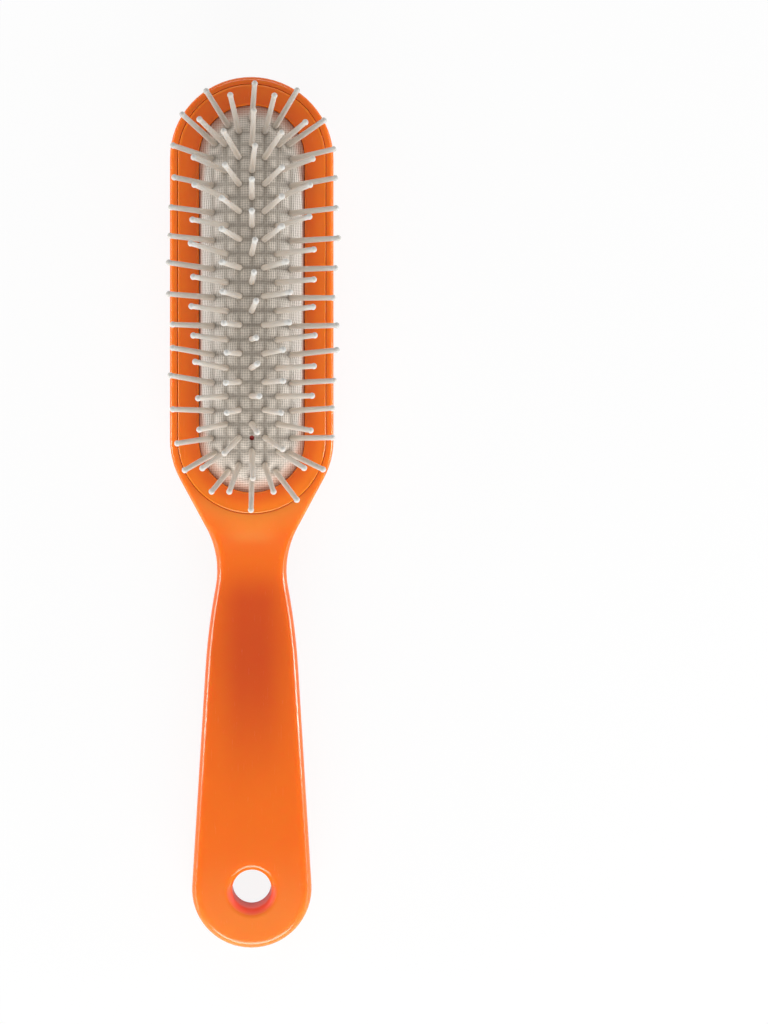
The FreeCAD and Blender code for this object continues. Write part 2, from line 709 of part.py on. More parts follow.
def surface_height(x, y):
    """Height of the cloth's face, an arc across the cushion at each place along it."""
    across, rise = half_width(y), crown(y)
    radius = (across ** 2 + rise ** 2) / (2 * rise)
    return math.sqrt(radius ** 2 - x ** 2) - (radius - rise)


def make_dome(inset):
    """Solid under the cushion's face, or under a face that lies deeper by the inset."""
    least = inset + size("end_section_height")
    reach = cushion_reach() * (1 - least / size("crown_height")) ** (1 / CROWN_POWER)
    sections = []
    for station in range(DOME_STATIONS):
        y = -reach * math.cos(math.pi * station / (DOME_STATIONS - 1))
        across, rise = half_width(y) - inset, crown(y) - inset
        left, top, right = Vector(-across, y, 0), Vector(0, y, rise), Vector(across, y, 0)
        arch = Part.Arc(left, top, right).toShape()
        sections.append(Part.Wire([arch, Part.LineSegment(right, left).toShape()]))
    return Part.makeLoft(sections, True)


def stadium_prism(radius, low, height):
    """Slot-shaped block about the pad's middle."""
    spine = size("pad_spine")
    tip_right, tip_left = Vector(radius, spine, low), Vector(-radius, spine, low)
    end_right, end_left = Vector(radius, -spine, low), Vector(-radius, -spine, low)
    tip = Part.Arc(tip_right, Vector(0, spine + radius, low), tip_left)
    end = Part.Arc(end_left, Vector(0, -spine - radius, low), end_right)
    left = Part.LineSegment(tip_left, end_left)
    right = Part.LineSegment(end_right, tip_right)
    wire = Part.Wire([side.toShape() for side in (tip, left, end, right)])
    return Part.Face(wire).extrude(Vector(0, 0, height))


def row_place(row):
    """Distance along the pad of a row of pins: even steps over the dome, so closer at its round ends."""
    share = row / LAST_ROW
    squeeze = (1 - ROW_SQUEEZE_SHARE * share ** 2) / (1 - ROW_SQUEEZE_SHARE)
    return LAST_ROW_SHARE * cushion_reach() * share * squeeze


def pin_direction(side, end):
    """Way that a pin points, by its two leans from upright."""
    way = Vector(math.tan(math.radians(side)), math.tan(math.radians(end)), 1)
    return way.normalize()


def pin_groups():
    """Roots of the pins that rock together, by the name of their group."""
    groups = {}
    for column, groups_of_rows in COLUMN_GROUPS.items():
        x = COLUMN_SHARES[column] * opening_radius()
        sides = {"": 0} if column == "centre" else {"_left": -1, "_right": 1}
        for side, sign in sides.items():
            for number, rows in enumerate(groups_of_rows, start=1):
                groups[f"pins_{column}{side}_{number}"] = [(sign * x, row_place(row)) for row in rows]
    reach = CORNER_SHARE * opening_radius()
    for end, end_sign in {"handle": -1, "tip": 1}.items():
        for side, sign in {"left": -1, "right": 1}.items():
            roots = []
            for angle in map(math.radians, CORNER_ANGLES):
                along = size("pad_spine") + reach * math.sin(angle)
                roots.append((sign * reach * math.cos(angle), end_sign * along))
            groups[f"pins_corner_{end}_{side}"] = roots
    return groups


def pin_places():
    """Root and direction of every pin, by group, on the pad's own axes."""
    places = {}
    for name, roots in pin_groups().items():
        places[name] = []
        for (x, y), leans in zip(roots, PIN_LEANS[name]):
            root = Vector(x, y, surface_height(x, y))
            places[name].append((root, pin_direction(*leans)))
    return places


def pin_grip():
    """Length of a pin between the cloth's face and its head under the membrane."""
    return size("cloth_thickness") + size("membrane_thickness") + size("pin_head_clearance")


def make_pin():
    """One pin standing on its root: flat head below, tapered shank, ball tip."""
    body = doc.addObject("PartDesign::Body", "pin")
    sketch = new_sketch(body, "pin_profile", "XZ_Plane")
    ball, neck = size("pin_ball_radius"), size("pin_neck_radius")
    centre = size("pin_length") - ball
    meet = math.acos(neck / ball)
    grip, foot = -pin_grip(), -pin_grip() - size("pin_head_thickness")
    grip_cell = "-(sizes.cloth_thickness + sizes.membrane_thickness + sizes.pin_head_clearance)"
    foot_cell = grip_cell + " - sizes.pin_head_thickness"
    head, shank = size("pin_head_radius"), size("pin_root_radius")
    base = sketch.addGeometry(line((0, foot), (head, foot)))
    edge = sketch.addGeometry(line((head, foot), (head, grip)))
    shoulder = sketch.addGeometry(line((head, grip), (shank, grip)))
    taper = sketch.addGeometry(line((shank, grip), (neck, centre - ball * math.sin(meet))))
    tip = sketch.addGeometry(arc((0, centre), ball, -meet, math.pi / 2))
    axis = sketch.addGeometry(line((0, size("pin_length")), (0, foot)))
    join(sketch, "Coincident", [
        (base, 2, edge, 1), (edge, 2, shoulder, 1), (shoulder, 2, taper, 1), (taper, 2, tip, 1),
        (tip, 2, axis, 1), (axis, 2, base, 1),
    ])
    sketch.addConstraint(Sketcher.Constraint("PointOnObject", tip, 3, -2))
    put_point(sketch, axis, 2, "0", foot_cell, (0, foot))
    put_point(sketch, edge, 1, cell("pin_head_radius"), foot_cell, (head, foot))
    put_point(sketch, edge, 2, cell("pin_head_radius"), grip_cell, (head, grip))
    put_point(sketch, shoulder, 2, cell("pin_root_radius"), grip_cell, (shank, grip))
    put_point(sketch, axis, 1, "0", cell("pin_length"), (0, size("pin_length")))
    drive(sketch, cell("pin_ball_radius"), "Radius", tip, ball)
    drive(sketch, cell("pin_neck_radius"), "DistanceX", -1, 1, tip, 1, neck)
    turn = body.newObject("PartDesign::Revolution", "pin_turned")
    turn.Profile = sketch
    turn.ReferenceAxis = (sketch, ["V_Axis"])
    doc.recompute()
    return body


def standing(root, way):
    return Placement(root, Rotation(Vector(0, 0, 1), way))


def pin_holes(places):
    """Cutters for the pins' holes and the vent through the cushion."""
    depth = pin_grip()
    radius = size("pin_root_radius") + size("pin_hole_clearance")
    holes = []
    for root, way in [place for group in places.values() for place in group]:
        holes.append(Part.makeCylinder(radius, 2 * depth, root - way * depth, way))
    vent_y = row_place(VENT_ROW)
    vent = Vector(0, vent_y, surface_height(0, vent_y))
    up = Vector(0, 0, 1)
    holes.append(Part.makeCylinder(size("vent_radius"), 2 * depth, vent - up * depth, up))
    return holes


def add_node(name, shape):
    """A piece shaped in code, on the pad's own axes at the ring's lip."""
    node = doc.addObject("Part::Feature", name)
    node.Shape = shape
    node.Placement = Placement(Vector(0, pad_centre(), lip_height()), Rotation())
    return node


def make_cushion(places):
    """Membrane with its flange, and the cloth on it, both pierced for the pins and the vent."""
    holes = pin_holes(places)
    under_cloth = make_dome(size("cloth_thickness"))
    walls = size("cloth_thickness") + size("membrane_thickness")
    thick = size("flange_thickness")
    skirt_bore = ring_radius() - size("skirt_thickness")
    flange = stadium_prism(skirt_bore - size("flange_clearance"), -thick, thick)
    mouth_radius = opening_radius() - size("cushion_clearance") - walls
    mouth = stadium_prism(mouth_radius, -thick, thick)
    membrane = under_cloth.fuse(flange).cut([make_dome(walls), mouth]).cut(holes)
    cloth = make_dome(0).cut(under_cloth).cut(holes)
    return [add_node("rubber_membrane", membrane), add_node("cloth_facing", cloth)]


def make_pins(places):
    pin = make_pin().Shape
    nodes = []
    for name, group in places.items():
        copies = []
        for root, way in group:
            copy = pin.copy()
            copy.Placement = standing(root, way)
            copies.append(copy)
        nodes.append(add_node(name, Part.makeCompound(copies)))
    return nodes


def check(nodes):
    """Stops if any object failed or a piece's shape is missing or faulty."""
    for item in doc.Objects:
        if "Invalid" in item.State or "Error" in item.State:
            raise RuntimeError(f"{item.Name} failed: {item.State}")
    for node in nodes:
        if node.Shape.isNull() or not node.Shape.isValid():
            raise RuntimeError(f"{node.Label} has no valid shape")


def main():
    fill_sheet()
    places = pin_places()
    nodes = [make_handle(), make_ring(), *make_cushion(places), *make_pins(places)]
    doc.recompute()
    check(nodes)
    os.makedirs("parts", exist_ok=True)
    for node in nodes:
        node.Shape.exportStep(f"parts/{node.Label}.step")
        print(node.Label, len(node.Shape.Solids), round(node.Shape.Volume, 1))


main()
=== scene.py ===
import json
import math
from itertools import combinations

import bpy
import numpy as np
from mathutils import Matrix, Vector


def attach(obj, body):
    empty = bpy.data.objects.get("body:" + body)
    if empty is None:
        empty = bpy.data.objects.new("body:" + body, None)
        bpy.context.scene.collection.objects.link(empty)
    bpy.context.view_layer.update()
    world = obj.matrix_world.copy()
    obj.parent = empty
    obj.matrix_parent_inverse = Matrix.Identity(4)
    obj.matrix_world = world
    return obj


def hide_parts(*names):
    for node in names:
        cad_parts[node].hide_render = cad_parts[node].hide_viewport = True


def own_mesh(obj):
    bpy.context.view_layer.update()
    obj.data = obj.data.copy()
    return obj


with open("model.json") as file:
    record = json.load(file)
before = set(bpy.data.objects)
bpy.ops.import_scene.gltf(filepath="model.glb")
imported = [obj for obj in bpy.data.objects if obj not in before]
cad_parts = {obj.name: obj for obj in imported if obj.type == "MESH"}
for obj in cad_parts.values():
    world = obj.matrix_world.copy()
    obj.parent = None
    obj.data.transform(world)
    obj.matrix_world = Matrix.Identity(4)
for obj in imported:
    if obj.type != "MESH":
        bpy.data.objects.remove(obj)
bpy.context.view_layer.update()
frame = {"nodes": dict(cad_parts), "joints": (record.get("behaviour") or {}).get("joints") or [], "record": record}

# Lengths are in millimetres, or in metres where a name ends in _m or _M.
# A pair of lengths says where a change starts and where it ends
MM = 0.001

# Hanging hole and press, as the frame's record has them
mounts = {mount["name"]: mount for mount in frame["record"]["mounts"]}
press_joint = next(joint for joint in frame["joints"] if joint["name"] == "cushion_press")
HOLE_Y = mounts["hanging_hole"]["pos_m"][1] / MM
HOLE_RADIUS = mounts["hanging_hole"]["dims"]["r_mm"]
PRESS_DEPTH = -press_joint["range_m"][0] / MM
LEDGE_Z = press_joint["deforming_nodes"][0]["fixed_end_z_m"] / MM

# Ring, as its solid has it
OPENING_RADIUS = 13.2
RING_RADIUS = 18.5

# Pad: its axes lie on the brush's own, with the origin at the ring's lip under the middle of the pad,
# right above the middle of the back rest.
# Its cloth meets the wall of the ring's opening a little above the lip's underside
PAD_Y = mounts["back_rest"]["pos_m"][1] / MM
PAD_Z = 11.2
PAD_SPINE = 35.25
PAD_RADIUS = 13.12
PAD_BASE = 1.6
PAD_TOP = 9.6
PAD_REACH = PAD_SPINE + PAD_RADIUS
CROWN_POWER = 3
TUCK_Z = -0.35
FLANGE_RADIUS = 14.8
FLANGE_Z = -1.1

# Grid of the pad's cloth. Its end stations stop just short of the pad's reach, so that they have a width
STATIONS, COLUMNS = 281, 97
END_STATION_SHARE = 0.9985

# Pins, as the solids have them: columns of odd and even rows by turns, closer together towards the ends
SOLID_REACH = 48.15
LAST_ROW = 13
LAST_ROW_SHARE = 0.93
ROW_CROWDING = 0.03
COLUMN_SHARES = (0.0, 0.244, 0.496, 0.757)
LAST_ROWS_OF_COLUMNS = (13, 12, 11, 10)
CORNER_SHARE = 0.735
CORNER_ANGLES = (19.6, 53.3)

# Vent, in the middle of a block of cells that reaches this many cells each way
VENT_ROW = -10
VENT_RADIUS = 0.6
VENT_DEPTH = 0.5
VENT_BLOCK = 2

# Cloth under air pressure. It starts below the dome, is held at its edge and round each pin, and swells
START_DEPTH = 0.45
EDGE_EASE = 1.5
HELD_EDGE = 0.05
HELD_AT_PIN = 0.85
MOST_SWELL = 0.8
SOLVER_SCALE = 20.0
SOLVER_FRAMES = 20
SOLVER_QUALITY = 6
SOLVER_PRESSURE = 4.0

# Creases: their depth, the widths of dimples and creases, and the narrower widths where shade is painted dark
CREASE_SEED = 7
CREASE_DEPTH = 0.6
DIMPLE_WIDTH, DIMPLE_SHADE = 1.15, 1.05
CREASE_WIDTH, CREASE_SHADE = 0.75, 0.5
CREASE_STRENGTHS = (0.8, 1.0)
MIDWAY_DEPTH_SHARE = 0.75
MIDWAY_POWER = 1.5
ROW_FADE_SHARE = 0.35
COLUMN_START_SHARE, COLUMN_GAIN_SHARE = 0.45, 0.5

# Neighbours that a crease joins: how far off one line they may be, and the steps between them
OFF_LINE = 0.2
STEP_ACROSS = (5.0, 7.3)
STEP_ALONG = (5.0, 8.2)

# Where shade and light are painted on the handle: places along it, distances from its middle line or the ring
GRIP_START = (-23.0, -11.0)
GRIP_FADE = (-76.0, -36.0)
GRIP_SIDES = (2.0, 10.0)
NECK_HIGHLIGHT = (-5.0, 0.0)
NECK_HIGHLIGHT_SOFT = 3.5
NECK_HIGHLIGHT_SIDES = (1.0, 8.0)
HANDLE_END = (-104.0, -84.0)
RIM_EDGE = (RING_RADIUS + 0.05, RING_RADIUS + 0.4)
RIM_AT_NECK = (0.0, 12.0)
RIM_AT_TIP = (90.0, 104.0)
COLLAR = (RING_RADIUS + 1.0, RING_RADIUS + 8.0)
COLLAR_AT_HEAD = (0.0, 8.0)
SEAM = (RING_RADIUS - 0.4, RING_RADIUS + 0.2)
SEAM_SOFT = 0.25
HOLE_WALL = (HOLE_RADIUS + 0.6, HOLE_RADIUS + 1.9)
HOLE_HEAD_SIDE = (-2.0, 2.5)

# Painted light and highlights on the ring: distances from the pad's middle line, places along and across the pad
RING_EDGE = (RING_RADIUS - 0.85, RING_RADIUS - 0.5)
RING_EDGE_END = (RING_RADIUS, RING_RADIUS + 0.05)
RING_LIP = (OPENING_RADIUS + 0.1, OPENING_RADIUS + 0.6)
RING_OUTER_HALF = (RING_RADIUS - 4.5, RING_RADIUS - 0.6)
RING_HANDLE_END = (-46.0, -30.0)
RING_TIP_END = (28.0, 46.0)
RING_SIDES = (-10.0, 10.0)

# Tone and painted light of the pins, by the distance from a line under the crown that they fan out from
FAN_DEPTH = 13.5
FAN_SPINE = 26.0
FAN_END_SHARE = 0.5
PIN_SHANK = (14.5, 27.0)
PIN_BALL = (25.8, 27.2)

# Weave and tone of the cloth. Its painted reflection and shade at the edge is wider at the round ends than the
# sides
THREAD_PITCH = 0.62
THREAD_SLACK = 0.5
WEAVE_DEPTH = 0.08
PAINTED_EDGE_WIDTHS = (0.8, 3.6)
PAINTED_EDGE_WIDENS = (25.0, 43.0)
CLOTH_TIP = (84.0, 99.0)

# How far light spreads inside the plastics, in red, green and blue
ORANGE_SPREAD_M = (0.0035, 0.0008, 0.0002)
NYLON_SPREAD_M = (0.0007, 0.0006, 0.0005)

# Floor, world and camera
FLOOR_HALF_M = 4.0
FLOOR_Z_M = -0.0002
FLOOR_WHITE_SHARE = 0.9
FLOOR_ALL_WHITE = (250.0, 700.0)
SKY_STRENGTH = 0.38
SENSOR = 36.0
IMAGE_HEIGHT_PIXELS = 1024
FOCAL_PIXELS = 2333.7
CAMERA_AT_M = (0.0, 0.0004, 0.598)
CAMERA_TURN_DEGREES = -3.24


class Wire:
    """A node's output that takes part in sums: each operator adds one Math node."""

    def __init__(self, bench, socket):
        self.bench = bench
        self.socket = socket

    def other(self, output):
        """Another output of the same node."""
        return Wire(self.bench, self.socket.node.outputs[output])

    def math(self, operation, *terms):
        return self.bench.node("ShaderNodeMath", {"operation": operation}, dict(enumerate(terms)))

    def __add__(self, other):
        return self.math("ADD", self, other)

    def __sub__(self, other):
        return self.math("SUBTRACT", self, other)

    def __rsub__(self, other):
        return self.math("SUBTRACT", other, self)

    def __mul__(self, other):
        return self.math("MULTIPLY", self, other)

    def __pow__(self, other):
        return self.math("POWER", self, other)

    def __abs__(self):
        return self.math("ABSOLUTE", self)

    __radd__ = __add__
    __rmul__ = __mul__

    def most(self, other):
        return self.math("MAXIMUM", self, other)

    def least(self, other):
        return self.math("MINIMUM", self, other)

    def cosine(self):
        return self.math("COSINE", self)

    def ramp(self, low, high):
        """0 below low, 1 above high, eased between them."""
        return self.bench.node("ShaderNodeMapRange", {"interpolation_type": "SMOOTHSTEP"}, {
            "Value": self, "From Min": low, "From Max": high})

    def fall(self, low, high):
        """1 below low, 0 above high, eased between them."""
        return 1 - self.ramp(low, high)

    def band(self, low, high, soft):
        """1 from low to high, with soft edges outside."""
        return self.ramp(low - soft, low) * self.fall(high, high + soft)


class Bench:
    """Where a tree's nodes are made and wired."""

    def __init__(self, tree):
        self.tree = tree

    def node(self, kind, settings=None, sockets=None, output=0):
        made = self.tree.nodes.new(kind)
        for name, value in (settings or {}).items():
            setattr(made, name, value)
        for key, value in (sockets or {}).items():
            self.feed(made.inputs[key], value)
        return Wire(self, made.outputs[output])

    def feed(self, socket, value):
        if isinstance(value, Wire):
            self.tree.links.new(value.socket, socket)
        else:
            socket.default_value = value

    def backdrop_rays(self):
        """1 for the rays that see the background: camera, mirror and see-through rays."""
        seen = self.node("ShaderNodeLightPath", output="Is Camera Ray")
        return (seen + seen.other("Is Glossy Ray") + seen.other("Is Transmission Ray")).least(1.0)


class Finish(Bench):
    """A material of one Principled shader, fed by nodes."""

    def __init__(self, name):
        self.material = bpy.data.materials.new(name)
        self.material.use_nodes = True
        super().__init__(self.material.node_tree)
        self.shader = self.tree.nodes["Principled BSDF"]

    def give(self, sockets):
        for name, value in sockets.items():
            self.feed(self.shader.inputs[name], value)

    def place(self):
        """The surface point on the brush's own axes, in millimetres."""
        here = self.node("ShaderNodeTexCoord", output="Object")
        return self.node("ShaderNodeVectorMath", {"operation": "SCALE"}, {0: here, "Scale": 1 / MM})

    def split(self, vector):
        x = self.node("ShaderNodeSeparateXYZ", {}, {0: vector})
        return x, x.other("Y"), x.other("Z")

    def stretch(self, vector, across, along, up):
        shares = (across, along, up)
        return self.node("ShaderNodeVectorMath", {"operation": "MULTIPLY"}, {0: vector, 1: shares})

    def noise(self, vector, scale=1.0, detail=2.0, roughness=0.5):
        return self.node("ShaderNodeTexNoise", {}, {
            "Vector": vector, "Scale": scale, "Detail": detail, "Roughness": roughness})

    def attribute(self, name):
        return self.node("ShaderNodeAttribute", {"attribute_name": name}, output="Fac")

    def blend(self, share, first, second):
        return self.node("ShaderNodeMix", {"data_type": "RGBA"}, {0: share, 6: first, 7: second}, output=2)

    def relief(self, height, depth_mm):
        return self.node("ShaderNodeBump", {}, {"Height": height, "Distance": depth_mm * MM})


def colour(red, green, blue):
    return red, green, blue, 1.0


def from_spine(x, y):
    """Distance from the pad's middle line, which ends at the centres of its round ends."""
    beyond = (abs(y - PAD_Y) - PAD_SPINE).most(0.0)
    return (x * x + beyond * beyond) ** 0.5


def moulded_plastic(finish, place, pale, deep):
    """Glossy orange plastic with faint flow marks and hairline wear. Gives its tone and its roughness."""
    flow = finish.noise(finish.stretch(place, 0.16, 0.035, 0.16), detail=3.0)
    cloud = finish.noise(place, scale=0.09)
    hairlines = finish.noise(finish.stretch(place, 5.0, 0.12, 5.0), roughness=0.6)
    wear = hairlines.ramp(0.62, 0.74)
    peel = finish.noise(place, scale=0.8, detail=1.0)
    finish.give({
        "Normal": finish.relief(peel + wear * 0.15, depth_mm=0.012),
        "IOR": 1.49,
        "Subsurface Weight": 0.5,
        "Subsurface Radius": ORANGE_SPREAD_M,
        "Subsurface Scale": 1.0,
    })
    tone = finish.blend(flow * 0.6 + cloud * 0.4, deep, pale)
    return tone, 0.16 + cloud * 0.06 + wear * 0.10


def handle_orange(name):
    """Plastic of head, neck and handle, with painted shade, painted light and a painted red glow."""
    finish = Finish(name)
    place = finish.place()
    x, y, _ = finish.split(place)
    tone, polish = moulded_plastic(
        finish, place, pale=colour(0.86, 0.161, 0.005), deep=colour(0.81, 0.145, 0.004))
    # The plastic is a little see-through. Shade is painted darker where the grip starts to thicken,
    # and light is painted paler below the ring, at the handle's end, on the head's rim and round the ring
    grip = y.fall(*GRIP_START) * y.ramp(*GRIP_FADE) * (1 - abs(x).ramp(*GRIP_SIDES) * 0.75)
    # Painted highlight: a pale patch on the neck just below the ring
    painted_neck_highlight = y.band(*NECK_HIGHLIGHT, NECK_HIGHLIGHT_SOFT) * abs(x).fall(*NECK_HIGHLIGHT_SIDES)
    # Painted light: the handle's end is painted paler
    handle_end = y.fall(*HANDLE_END)
    out = from_spine(x, y)
    # Painted light: the head's outer rim beside the ring is painted brighter, from the neck to near the tip
    painted_rim_light = out.ramp(*RIM_EDGE) * y.ramp(*RIM_AT_NECK) * y.fall(*RIM_AT_TIP)
    # Painted light: the neck round the ring's foot is painted paler, lifting the shade there
    painted_collar_light = out.fall(*COLLAR) * y.fall(*COLLAR_AT_HEAD)
    # Painted light: the groove at the ring is painted a lighter red, a glow over its shade
    painted_seam_glow = out.band(*SEAM, SEAM_SOFT)
    for mask, strength, tint in (
            (grip, 0.7, colour(0.59, 0.046, 0.006)),
            (painted_neck_highlight, 0.7, colour(0.82, 0.235, 0.032)),
            (handle_end, 0.8, colour(0.82, 0.21, 0.022)),
            (painted_rim_light, 0.9, colour(1.0, 0.19, 0.007)),
            (painted_collar_light, 0.85, colour(0.96, 0.255, 0.03)),
            (painted_seam_glow, 0.8, colour(1.0, 0.14, 0.014))):
        tone = finish.blend(mask * strength, tone, tint)
    # Painted light: the hole's wall on the handle's end side is painted a brighter red, as light bouncing inside
    # it, and made rougher
    off = y - HOLE_Y
    painted_hole_glow = ((x * x + off * off) ** 0.5).fall(*HOLE_WALL) * off.fall(*HOLE_HEAD_SIDE)
    finish.give({
        "Base Color": finish.blend(painted_hole_glow, tone, colour(1.0, 0.105, 0.048)),
        "Roughness": (polish + painted_hole_glow * 0.35).least(1.0),
    })
    return finish.material


def ring_orange(name):
    """Plastic of the ring, painted yellower as light on its outer half and as highlights on its edges."""
    finish = Finish(name)
    place = finish.place()
    x, y, _ = finish.split(place)
    tone, polish = moulded_plastic(
        finish, place, pale=colour(0.78, 0.130, 0.006), deep=colour(0.73, 0.114, 0.005))
    out = from_spine(x, y)
    # Painted highlights: yellow lines on the ring's outer edge and on its lip
    painted_edge_highlight = out.ramp(*RING_EDGE) * out.fall(*RING_EDGE_END)
    painted_lip_highlight = out.fall(*RING_LIP)
    handle_end = (y - PAD_Y).fall(*RING_HANDLE_END)
    tip_end = (y - PAD_Y).ramp(*RING_TIP_END)
    # Painted light and shade: the outer half is lighter towards the handle's end and the right side, darker at the
    # tip
    lit = 0.6 + x.ramp(*RING_SIDES) * 0.25 + handle_end * 0.25 - tip_end * 0.4
    lit = lit * out.ramp(*RING_OUTER_HALF)
    # Tone of the painted light and highlights, yellower towards the handle's end
    glow = finish.blend(handle_end, colour(1.0, 0.195, 0.008), colour(0.97, 0.215, 0.009))
    share = painted_edge_highlight.most(painted_lip_highlight * 0.8).most(lit).least(1.0) * 0.9
    finish.give({"Base Color": finish.blend(share, tone, glow), "Roughness": polish})
    return finish.material


def pin_nylon(name):
    """Satin nylon, warm grey white: warmer and painted lighter at the root, painted highlight at the ball."""
    finish = Finish(name)
    place = finish.place()
    x, y, z = finish.split(place)
    beyond = (abs(y - PAD_Y) - FAN_SPINE).most(0.0)
    rise = z - (PAD_Z + PAD_TOP - FAN_DEPTH)
    out = (x * x + rise * rise + beyond * beyond * FAN_END_SHARE) ** 0.5
    cloud = finish.noise(place, scale=0.5)
    # Warmer towards the root, its own tint, and lighter there as painted light against the shade among the pins;
    # paler at the ball as a painted highlight
    towards_ball = (out + cloud * 3.0).ramp(*PIN_SHANK)
    tone = finish.blend(towards_ball, colour(0.62, 0.555, 0.48), colour(0.55, 0.515, 0.465))
    tone = finish.blend(out.ramp(*PIN_BALL), tone, colour(0.55, 0.545, 0.52))
    grain = finish.noise(place, scale=4.0)
    finish.give({
        "Base Color": tone,
        "Roughness": 0.44 + grain * 0.12,
        "Normal": finish.relief(grain, depth_mm=0.003),
        "Subsurface Weight": 0.6,
        "Subsurface Radius": NYLON_SPREAD_M,
        "Subsurface Scale": 1.0,
    })
    return finish.material


def woven_cloth(name):
    """Open plain weave: dark dots between threads, painted shade in creases, painted light and edge reflection."""
    finish = Finish(name)
    u, v, _ = finish.split(finish.node("ShaderNodeUVMap", {"uv_map": "threads"}))
    turn = math.pi / THREAD_PITCH
    place = finish.place()
    slack = finish.noise(place, scale=0.35) * THREAD_SLACK
    across, along = u + slack, v + slack
    gap_across = 0.5 - (across * (2 * turn)).cosine() * 0.5
    gap_along = 0.5 - (along * (2 * turn)).cosine() * 0.5
    over = (across * turn).cosine() * (along * turn).cosine()
    # On a slope the grooves across the slope stay open and the others close up
    side_tilt, end_tilt = finish.attribute("side_tilt"), finish.attribute("end_tilt")
    groove_across = gap_across * (0.30 + side_tilt * 0.45 - end_tilt * 0.3)
    groove_along = gap_along * (0.30 + end_tilt * 0.45 - side_tilt * 0.3)
    tilt = side_tilt.most(end_tilt)
    dots = gap_across * gap_along * (1 - tilt * 0.6)
    dark = (groove_across.most(groove_along) + dots * 0.6).least(1.0)
    crease, edge = finish.attribute("crease"), finish.attribute("edge")
    uneven = finish.noise(place, scale=0.22, detail=3.0)
    fuzz = finish.noise(place, scale=6.0, detail=3.0)
    thread = finish.blend(uneven, colour(0.70, 0.63, 0.545), colour(0.78, 0.715, 0.63))
    # Painted light: the threads on the dome's slopes are painted lighter
    thread = finish.blend(tilt.ramp(0.25, 0.85), thread, colour(0.82, 0.79, 0.73))
    thread = finish.blend(fuzz * 0.2, thread, colour(0.84, 0.81, 0.75))
    # Painted reflection and shade at the edge: the ring's orange painted on the cloth beside it, darker at the tip
    # as painted shadow
    warm = (edge + uneven * 0.3).fall(0.25, 1.2)
    _, y, _ = finish.split(place)
    painted_edge_thread = finish.blend(y.ramp(*CLOTH_TIP), colour(0.62, 0.37, 0.27), colour(0.45, 0.255, 0.185))
    thread = finish.blend(warm * 0.9, thread, painted_edge_thread)
    gap = finish.blend(warm, colour(0.31, 0.27, 0.225), colour(0.38, 0.15, 0.09))
    tone = finish.blend(dark, thread, gap)
    finish.give({
        # Painted shade: a dark line along the bottom of each crease and dimple
        "Base Color": finish.blend(crease * 0.95, tone, colour(0.30, 0.262, 0.215)),
        "Roughness": 0.74 + dark * 0.14,
        "Normal": finish.relief(over * 0.25 - dark + fuzz * 0.12, WEAVE_DEPTH),
        "Sheen Weight": 0.12,
        "Sheen Roughness": 0.5,
    })
    return finish.material


def red_rubber(name):
    """Dull red rubber, which shows in the vent."""
    finish = Finish(name)
    grain = finish.noise(finish.place(), scale=3.0, detail=3.0)
    finish.give({
        "Base Color": finish.blend(grain, colour(0.30, 0.012, 0.010), colour(0.42, 0.025, 0.018)),
        "Roughness": 0.55 + grain * 0.2,
        "Normal": finish.relief(grain, depth_mm=0.02),
    })
    return finish.material


def row_place(row):
    """Distance along the pad of a row of pins."""
    share = row / LAST_ROW
    return LAST_ROW_SHARE * SOLID_REACH * share * (1 - ROW_CROWDING * share ** 2) / (1 - ROW_CROWDING)


def pin_roots():
    """Plan places of all pins on the pad's axes."""
    roots = []
    for share, last in zip(COLUMN_SHARES, LAST_ROWS_OF_COLUMNS):
        x = share * OPENING_RADIUS
        for row in range(-last, last + 1, 2):
            for side in {-x, x}:
                roots.append((side, row_place(row)))
    reach = CORNER_SHARE * OPENING_RADIUS
    for angle in map(math.radians, CORNER_ANGLES):
        x, y = reach * math.cos(angle), PAD_SPINE + reach * math.sin(angle)
        for across in (-1, 1):
            for along in (-1, 1):
                roots.append((across * x, along * y))
    return np.array(roots)


class Dome:
    """The pad's plain crowned form on its grid, before air and pins shape it."""

    def __init__(self):
        self.stations = END_STATION_SHARE * PAD_REACH * np.sin(np.linspace(-1, 1, STATIONS) * math.pi / 2)
        off_middle = np.abs(self.stations)
        half = np.sqrt(PAD_RADIUS ** 2 - np.maximum(0, off_middle - PAD_SPINE) ** 2)
        rise = (PAD_TOP - PAD_BASE) * (1 - (off_middle / PAD_REACH) ** CROWN_POWER)
        radius = (half ** 2 + rise ** 2) / (2 * rise)
        sweep = np.arcsin(np.minimum(1, half / radius))
        angle = sweep[:, None] * np.linspace(-1, 1, COLUMNS)[None, :]
        self.x = radius[:, None] * np.sin(angle)
        self.y = np.repeat(self.stations[:, None], COLUMNS, axis=1)
        z = PAD_BASE + radius[:, None] * np.cos(angle) - (radius - rise)[:, None]
        self.points = np.stack([self.x, self.y, z], axis=-1)
        facing = np.cross(np.gradient(self.points, axis=1), np.gradient(self.points, axis=0))
        self.facing = facing / np.linalg.norm(facing, axis=-1, keepdims=True)
        self.edge = PAD_RADIUS - np.hypot(self.x, np.maximum(0, np.abs(self.y) - PAD_SPINE))
        # Lengths on the cloth, across the pad and along its crown, that its threads are counted on
        self.across = radius[:, None] * angle
        crown_steps = np.hypot(np.diff(self.stations), np.diff(rise))
        along = np.concatenate([[0], np.cumsum(crown_steps)])
        self.along = np.repeat((along - along[STATIONS // 2])[:, None], COLUMNS, axis=1)

    def squared_distance(self, x, y):
        """Squared plan distance of every grid point from a place."""
        return (self.x - x) ** 2 + (self.y - y) ** 2


def nearness(squared_distance, width):
    """1 at a place, falling to nothing over about twice a width."""
    return np.exp(-squared_distance / width ** 2)


